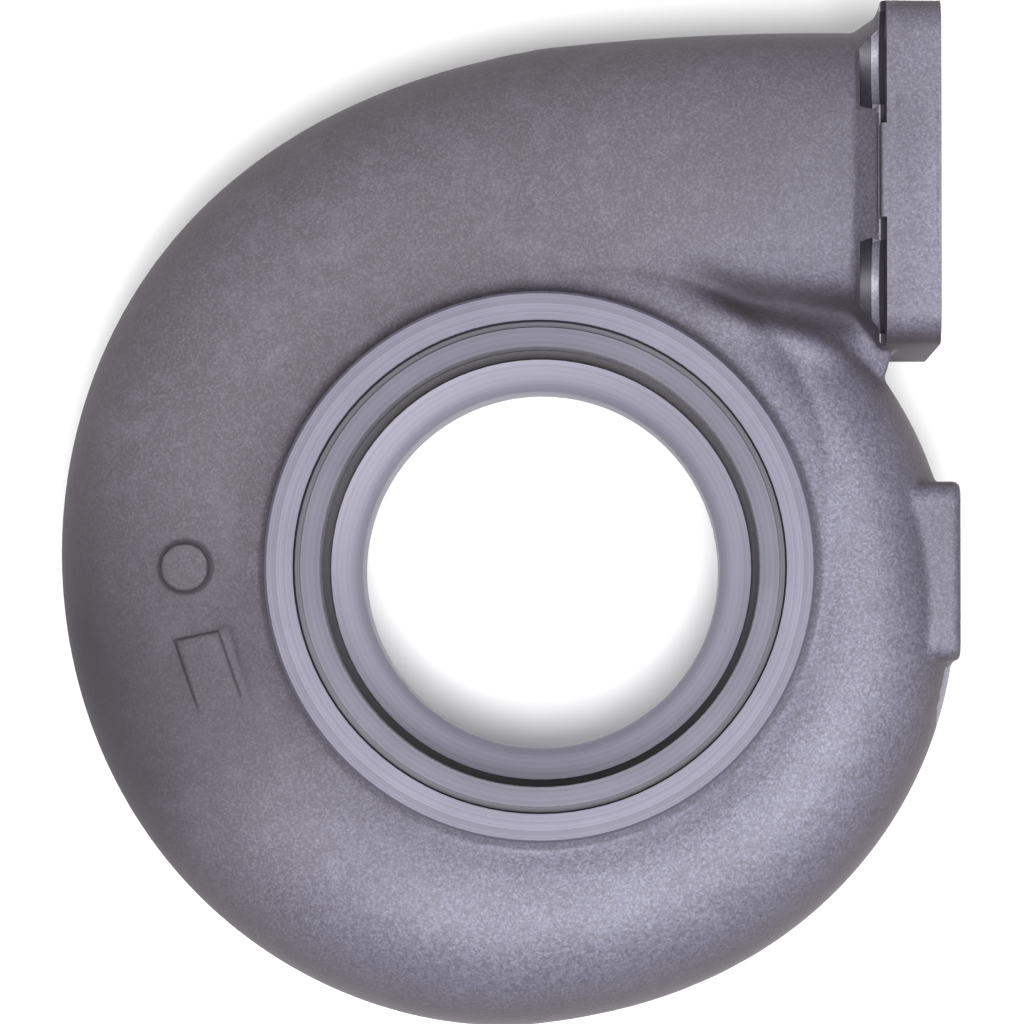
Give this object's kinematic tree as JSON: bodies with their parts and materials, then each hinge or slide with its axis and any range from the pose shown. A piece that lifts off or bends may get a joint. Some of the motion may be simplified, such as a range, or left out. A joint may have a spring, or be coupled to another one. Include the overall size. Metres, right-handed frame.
{
  "type": "turbocharger turbine housing",
  "caption": "Cast iron turbocharger turbine housing: a scroll with a rectangular exhaust inlet flange, a turned clamp rim for the bearing housing and an axial outlet.",
  "frame": {"origin": "centre of the outlet face", "axes": "+Z along the turbine axis towards the bearing housing, +X out of the exhaust inlet flange"},
  "size_m": [0.3022, 0.3411, 0.152],
  "materials": {
    "cast_iron": "as cast, sand grained, with turned faces at the bearing end"
  },
  "bodies": {
    "root": {"turbine_housing": "cast_iron"}
  },
  "joints": []
}
